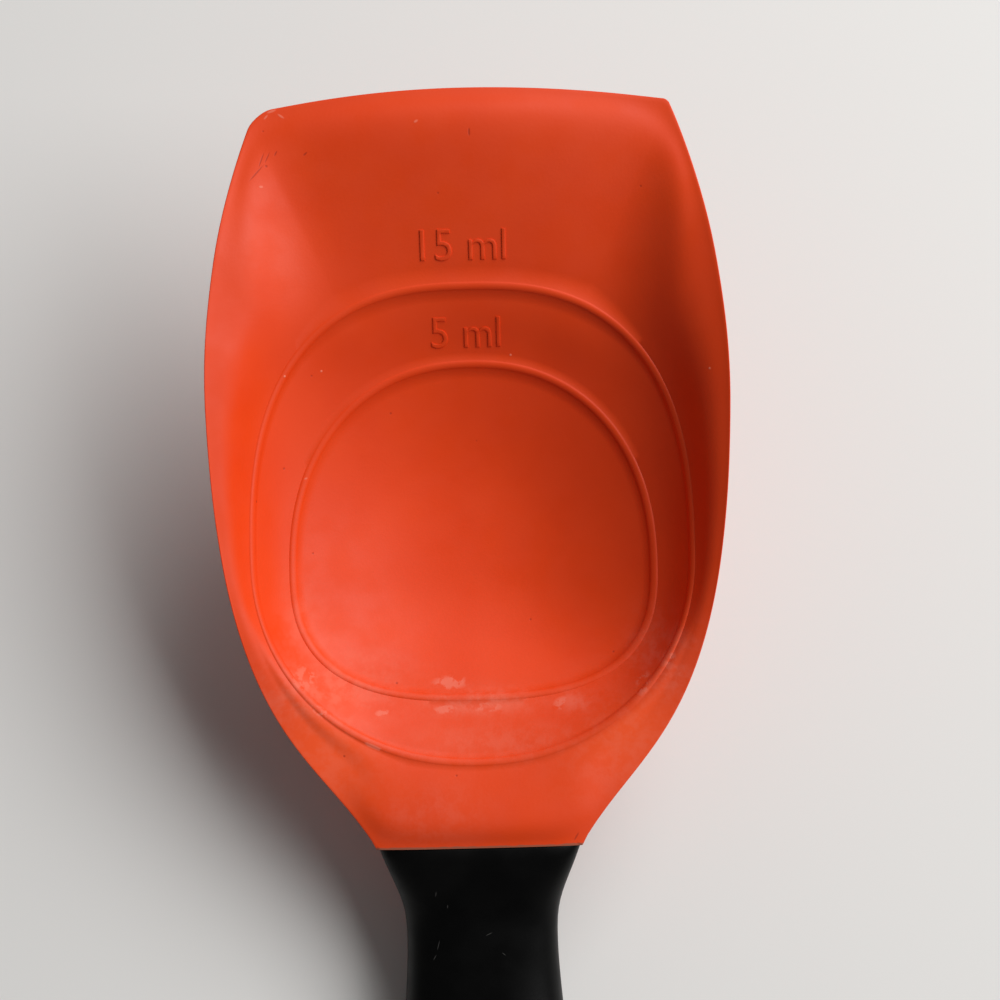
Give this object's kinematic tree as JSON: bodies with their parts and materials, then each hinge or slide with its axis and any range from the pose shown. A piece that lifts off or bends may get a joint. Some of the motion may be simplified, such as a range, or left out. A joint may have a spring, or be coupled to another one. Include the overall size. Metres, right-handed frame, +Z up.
{
  "type": "cooking spoon",
  "caption": "Scoop-shaped cooking spoon: soft head with two raised capacity lines and a thin scraping lip, on a curved handle that holds the head off the worktop.",
  "frame": {"origin": "on the worktop, under the middle of the spoon's length and width", "axes": "+Y from the handle's end to the tip of the head, +Z up from the worktop, +X across"},
  "size_m": [0.0624, 0.2672, 0.0465],
  "materials": {
    "head_silicone": "satin",
    "core_nylon": "matte",
    "handle_nylon": "satin"
  },
  "bodies": {
    "root": {"silicone_head": "head_silicone", "nylon_core": "core_nylon", "handle": "handle_nylon"}
  },
  "joints": []
}
